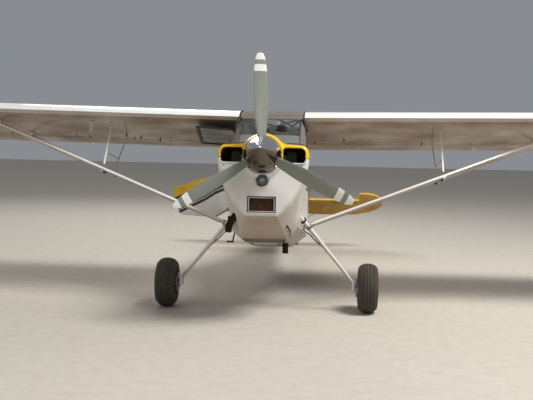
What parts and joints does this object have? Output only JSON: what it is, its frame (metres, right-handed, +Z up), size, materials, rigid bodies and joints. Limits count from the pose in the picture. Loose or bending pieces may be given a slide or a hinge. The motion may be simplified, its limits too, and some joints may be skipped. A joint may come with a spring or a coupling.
{
  "type": "light aircraft",
  "caption": "High-wing, strut-braced light aircraft on fixed tail-wheel gear, with a spinning propeller, control surfaces, an open side door and a raised side window.",
  "frame": {"origin": "centre of the bounding box in plan, on the ground that the wheels stand on", "axes": "+X towards the port wing tip, +Y aft towards the tail, +Z up; the airframe stands nose-up on its three wheels"},
  "size_m": [10.4, 7.0078, 2.4828],
  "materials": {
    "white_paint": "gloss",
    "yellow_paint": "gloss",
    "polished_metal": "polished",
    "steel": "satin",
    "blade_composite": "matt",
    "tyre": "matt",
    "seat_cloth": "woven",
    "cabin_paint": "satin",
    "engine_casting": "matt",
    "window_frame": "satin",
    "glazing": "clear"
  },
  "bodies": {
    "airframe": {"fuselage": "white_paint", "windshield": "glazing", "window_left": "glazing", "window_rear_left": "glazing", "window_rear_right": "glazing", "skylight": "glazing", "cowl_upper": "yellow_paint", "cowl_lower": "white_paint", "engine": "engine_casting", "landing_light": "polished_metal", "air_filter": "steel", "exhaust_right": "steel", "exhaust_left": "steel", "wing_left": "white_paint", "wing_right": "white_paint", "strut_front_left": "white_paint", "strut_front_right": "white_paint", "strut_rear_left": "white_paint", "strut_rear_right": "white_paint", "jury_strut_left": "white_paint", "jury_strut_right": "white_paint", "gear_leg_left": "white_paint", "gear_leg_right": "white_paint", "brake_left": "steel", "brake_right": "steel", "stabiliser_left": "yellow_paint", "stabiliser_right": "yellow_paint", "fin": "yellow_paint", "tail_brace_left": "steel", "tail_brace_right": "steel", "tail_spring": "steel", "instrument_panel": "cabin_paint", "cabin_frame": "cabin_paint", "seat_front": "seat_cloth", "seat_rear": "seat_cloth", "entry_step": "steel"},
    "propeller": {"spinner": "polished_metal", "blade_1": "blade_composite", "blade_2": "blade_composite", "blade_3": "blade_composite"},
    "main_wheel_left": {"tyre_left": "tyre", "wheel_left": "polished_metal"},
    "main_wheel_right": {"tyre_right": "tyre", "wheel_right": "polished_metal"},
    "tail_swivel": {"tail_fork": "steel"},
    "tail_wheel": {"tail_tyre": "tyre", "tail_hub": "polished_metal"},
    "door": {"door_right": "white_paint"},
    "window": {"window_right_frame": "window_frame", "window_right_pane": "glazing"},
    "flap_port": {"flap_left": "white_paint"},
    "flap_starboard": {"flap_right": "white_paint"},
    "aileron_port": {"aileron_left": "white_paint"},
    "aileron_starboard": {"aileron_right": "white_paint"},
    "elevator_body": {"elevator": "yellow_paint"},
    "rudder_body": {"rudder": "yellow_paint"}
  },
  "joints": [
    {"name": "propeller_spin", "type": "hinge", "parent": "airframe", "child": "propeller", "pos_m": [0, -3.18658, 1.58156], "axis": [0, 0.9856, -0.1693], "continuous": true},
    {"name": "main_wheel_left_spin", "type": "hinge", "parent": "airframe", "child": "main_wheel_left", "pos_m": [1.015, -2.20852, 0.24664], "axis": [1, 0, 0], "continuous": true},
    {"name": "main_wheel_right_spin", "type": "hinge", "parent": "airframe", "child": "main_wheel_right", "pos_m": [-1.015, -2.20852, 0.24664], "axis": [1, 0, 0], "continuous": true},
    {"name": "tail_steer", "type": "hinge", "parent": "airframe", "child": "tail_swivel", "pos_m": [0, 3.07166, 0.25], "axis": [0, 0, 1], "range_deg": [-35, 35]},
    {"name": "tail_wheel_spin", "type": "hinge", "parent": "tail_swivel", "child": "tail_wheel", "pos_m": [0, 3.13366, 0.09914], "axis": [1, 0, 0], "continuous": true},
    {"name": "rudder_hinge", "type": "hinge", "parent": "airframe", "child": "rudder_body", "pos_m": [0, 3.0687, 0.76037], "axis": [0, 0.1693, 0.9856], "range_deg": [-25, 25]},
    {"name": "elevator_hinge", "type": "hinge", "parent": "airframe", "child": "elevator_body", "pos_m": [0, 3.0228, 0.75304], "axis": [1, 0, 0], "range_deg": [0, 52]},
    {"name": "aileron_left_hinge", "type": "hinge", "parent": "airframe", "child": "aileron_port", "pos_m": [3.5, -0.67122, 1.76477], "axis": [0.9999, 0.0028, 0.0162], "range_deg": [-20, 20]},
    {"name": "aileron_right_hinge", "type": "hinge", "parent": "airframe", "child": "aileron_starboard", "pos_m": [-3.5, -0.67122, 1.76477], "axis": [0.9999, -0.0028, -0.0162], "range_deg": [-20, 20]},
    {"name": "flap_left_hinge", "type": "hinge", "parent": "airframe", "child": "flap_port", "pos_m": [1.3, -0.67734, 1.72919], "axis": [0.9999, 0.0028, 0.0162], "range_deg": [-40, 0]},
    {"name": "flap_right_hinge", "type": "hinge", "parent": "airframe", "child": "flap_starboard", "pos_m": [-1.3, -0.67734, 1.72919], "axis": [0.9999, -0.0028, -0.0162], "range_deg": [-40, 0]},
    {"name": "door_swing", "type": "hinge", "parent": "airframe", "child": "door", "pos_m": [-0.402, -2.11314, 1.10286], "axis": [-0.0384, 0.1692, 0.9848], "range_deg": [-46, 10]},
    {"name": "window_swing", "type": "hinge", "parent": "airframe", "child": "window", "pos_m": [-0.358, -1.93892, 1.81565], "axis": [0, 0.9856, -0.1693], "range_deg": [-88, 0]}
  ],
  "couplings": [
    {"joint": "aileron_right_hinge", "follows": "aileron_left_hinge", "ratio": -1},
    {"joint": "flap_right_hinge", "follows": "flap_left_hinge", "ratio": 1}
  ]
}
